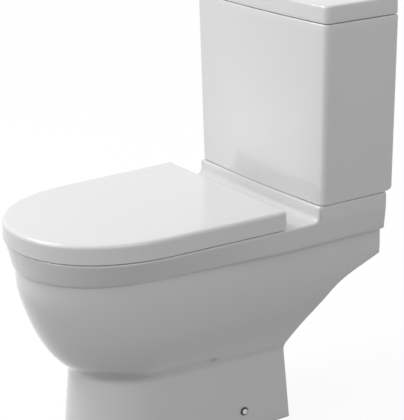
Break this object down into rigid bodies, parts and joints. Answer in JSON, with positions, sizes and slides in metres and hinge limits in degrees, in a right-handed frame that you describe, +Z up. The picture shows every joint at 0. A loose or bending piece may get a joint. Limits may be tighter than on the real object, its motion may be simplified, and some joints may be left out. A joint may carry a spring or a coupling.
{
  "type": "close-coupled toilet",
  "caption": "Close-coupled toilet: floor pan with an open back and level outlet, cistern with a dual push-button valve, hinged seat and cover.",
  "frame": {"origin": "middle of the toilet's footprint at the floor", "axes": "+X to the right seen from the front, -Y out of the front, +Y towards the wall behind the cistern, +Z up"},
  "size_m": [0.389, 0.658, 0.7793],
  "materials": {
    "white_china": "clear gloss glaze",
    "white_seat": "smooth moulded gloss",
    "chrome": "polished plating",
    "zinc_steel": "bright zinc",
    "brass": "turned, unpolished",
    "rubber": "matte black",
    "valve_plastic": "moulded natural white",
    "cap_plastic": "moulded blue",
    "dark_plastic": "moulded black"
  },
  "bodies": {
    "fixed": {"pan": "white_china", "cistern": "white_china", "flush_valve_base": "valve_plastic", "flush_valve_backnut": "valve_plastic", "flush_valve_housing": "valve_plastic", "flush_valve_seal_ring": "rubber", "coupling_gasket": "rubber", "rocker_pin": "zinc_steel", "fill_valve_body": "valve_plastic", "fill_valve_head": "cap_plastic", "tail_washers": "rubber", "tail_nuts": "valve_plastic", "blanking_plug": "valve_plastic", "float_lever_pin": "zinc_steel", "fill_drop_tube": "valve_plastic", "cistern_bolts": "brass", "bolt_rubber_washers": "rubber", "bolt_steel_washers": "zinc_steel", "bolt_wing_nuts": "brass", "floor_brackets": "valve_plastic", "side_sleeves": "dark_plastic", "side_screws": "zinc_steel", "hinge_gaskets": "rubber", "hinge_posts": "chrome", "damper_pins": "zinc_steel", "hinge_bolts": "zinc_steel", "hinge_nuts": "valve_plastic"},
    "cistern_lid": {"cistern_lid": "white_china", "button_bezel": "chrome", "button_clamp_nut": "valve_plastic"},
    "full_button": {"full_button": "chrome", "full_push_rod": "valve_plastic"},
    "half_button": {"half_button": "chrome", "half_push_rod": "valve_plastic"},
    "full_rocker": {"full_rocker": "cap_plastic"},
    "half_rocker": {"half_rocker": "cap_plastic"},
    "lift_yoke": {"lift_yoke": "cap_plastic"},
    "overflow_tube": {"flush_valve_tube": "valve_plastic", "flush_valve_seat_seal": "rubber"},
    "float": {"float_cup": "dark_plastic", "float_rod": "zinc_steel"},
    "float_lever": {"float_lever": "valve_plastic"},
    "seat_ring": {"seat_ring": "white_seat", "ring_buffers": "rubber"},
    "seat_cover": {"seat_cover": "white_seat", "cover_buffers": "rubber"}
  },
  "joints": [
    {"name": "ring_hinge", "type": "hinge", "parent": "fixed", "child": "seat_ring", "pos_m": [0, 0.083, 0.42], "axis": [-1, 0, 0], "range_deg": [0, 95]},
    {"name": "cover_hinge", "type": "hinge", "parent": "seat_ring", "child": "seat_cover", "pos_m": [0, 0.083, 0.42], "axis": [1, 0, 0], "range_deg": [-97, 0]},
    {"name": "lid_lift", "type": "slide", "parent": "fixed", "child": "cistern_lid", "axis": [0, 0, 1], "range_m": [0, 0.12]},
    {"name": "full_press", "type": "slide", "parent": "cistern_lid", "child": "full_button", "axis": [0, 0, 1], "range_m": [-0.007, 0], "stiffness_N_per_m": 400, "springref_m": 0.01},
    {"name": "half_press", "type": "slide", "parent": "cistern_lid", "child": "half_button", "axis": [0, 0, 1], "range_m": [-0.007, 0], "stiffness_N_per_m": 400, "springref_m": 0.01},
    {"name": "full_rocker_turn", "type": "hinge", "parent": "fixed", "child": "full_rocker", "pos_m": [0, 0.2375, 0.684], "axis": [0, -1, 0], "range_deg": [0, 30.5]},
    {"name": "half_rocker_turn", "type": "hinge", "parent": "fixed", "child": "half_rocker", "pos_m": [0, 0.2505, 0.684], "axis": [0, 1, 0], "range_deg": [0, 30.5]},
    {"name": "yoke_lift", "type": "slide", "parent": "fixed", "child": "lift_yoke", "axis": [0, 0, 1], "range_m": [0, 0.0111]},
    {"name": "tube_lift", "type": "slide", "parent": "lift_yoke", "child": "overflow_tube", "axis": [0, 0, 1], "range_m": [0, 0.0111]},
    {"name": "float_rise", "type": "slide", "parent": "fixed", "child": "float", "axis": [0, 0, 1], "range_m": [0, 0.016]},
    {"name": "lever_swing", "type": "hinge", "parent": "fixed", "child": "float_lever", "pos_m": [-0.15, 0.244, 0.665], "axis": [0, -1, 0], "range_deg": [0, 22.2]}
  ],
  "couplings": [
    {"joint": "full_rocker_turn", "follows": "full_press", "rad_per_m": -74.8},
    {"joint": "half_rocker_turn", "follows": "half_press", "rad_per_m": -74.8},
    {"joint": "yoke_lift", "follows": "full_press", "ratio": -1.5714},
    {"joint": "tube_lift", "follows": "half_press", "ratio": -1.5714},
    {"joint": "lever_swing", "follows": "float_rise", "rad_per_m": 23.96}
  ]
}
